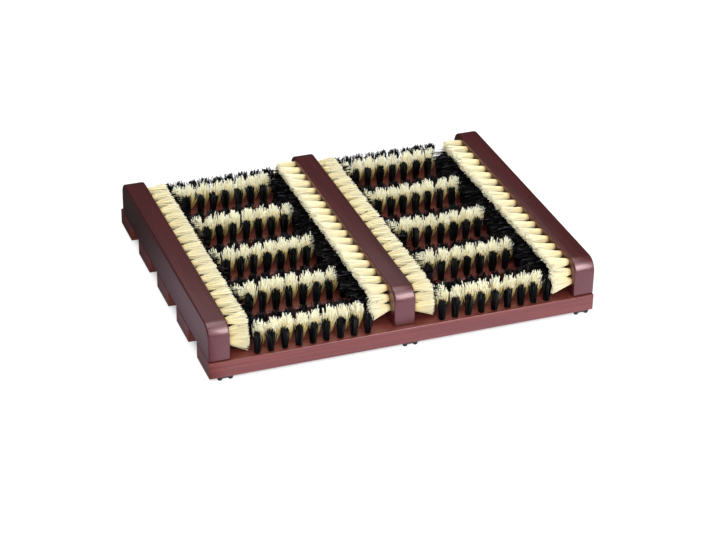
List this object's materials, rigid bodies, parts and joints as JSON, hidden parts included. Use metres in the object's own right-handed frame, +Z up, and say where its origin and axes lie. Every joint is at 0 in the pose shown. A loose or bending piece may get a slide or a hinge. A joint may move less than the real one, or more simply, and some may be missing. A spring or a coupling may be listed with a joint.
{
  "type": "boot scraper",
  "caption": "Floor-standing wooden boot scraper: slatted boards and raised rails carry black and cream bristle tufts that brush soles and sides of boots.",
  "frame": {"origin": "centre of the outline at floor level, midway between the outer feet", "axes": "+X along the boards across both lanes, +Y from the front edge to the back edge along the rails, +Z up"},
  "size_m": [0.44, 0.356, 0.065],
  "materials": {
    "mahogany_wood": "dark mahogany stain under satin lacquer",
    "black_bristle": "stiff black bristle",
    "cream_bristle": "stiff cream bristle",
    "foot_rubber": "plain black rubber",
    "screw_steel": "plain zinc-plated steel"
  },
  "bodies": {
    "root": {"slat_1": "mahogany_wood", "slat_2": "mahogany_wood", "slat_3": "mahogany_wood", "slat_4": "mahogany_wood", "slat_5": "mahogany_wood", "rail_left": "mahogany_wood", "rail_centre": "mahogany_wood", "rail_right": "mahogany_wood", "black_tufts_1": "black_bristle", "cream_tufts_1": "cream_bristle", "black_tufts_2": "black_bristle", "cream_tufts_2": "cream_bristle", "black_tufts_3": "black_bristle", "cream_tufts_3": "cream_bristle", "black_tufts_4": "black_bristle", "cream_tufts_4": "cream_bristle", "black_tufts_5": "black_bristle", "cream_tufts_5": "cream_bristle", "cream_side_tufts_left_rail": "cream_bristle", "black_side_tufts_left_rail": "black_bristle", "cream_side_tufts_centre_rail_left": "cream_bristle", "black_side_tufts_centre_rail_left": "black_bristle", "cream_side_tufts_centre_rail_right": "cream_bristle", "black_side_tufts_centre_rail_right": "black_bristle", "cream_side_tufts_right_rail": "cream_bristle", "black_side_tufts_right_rail": "black_bristle", "foot_front_left": "foot_rubber", "foot_front_centre": "foot_rubber", "foot_front_right": "foot_rubber", "foot_back_left": "foot_rubber", "foot_back_centre": "foot_rubber", "foot_back_right": "foot_rubber", "screw_left_1": "screw_steel", "screw_centre_1": "screw_steel", "screw_right_1": "screw_steel", "screw_left_2": "screw_steel", "screw_centre_2": "screw_steel", "screw_right_2": "screw_steel", "screw_left_3": "screw_steel", "screw_centre_3": "screw_steel", "screw_right_3": "screw_steel", "screw_left_4": "screw_steel", "screw_centre_4": "screw_steel", "screw_right_4": "screw_steel", "screw_left_5": "screw_steel", "screw_centre_5": "screw_steel", "screw_right_5": "screw_steel"}
  },
  "joints": []
}
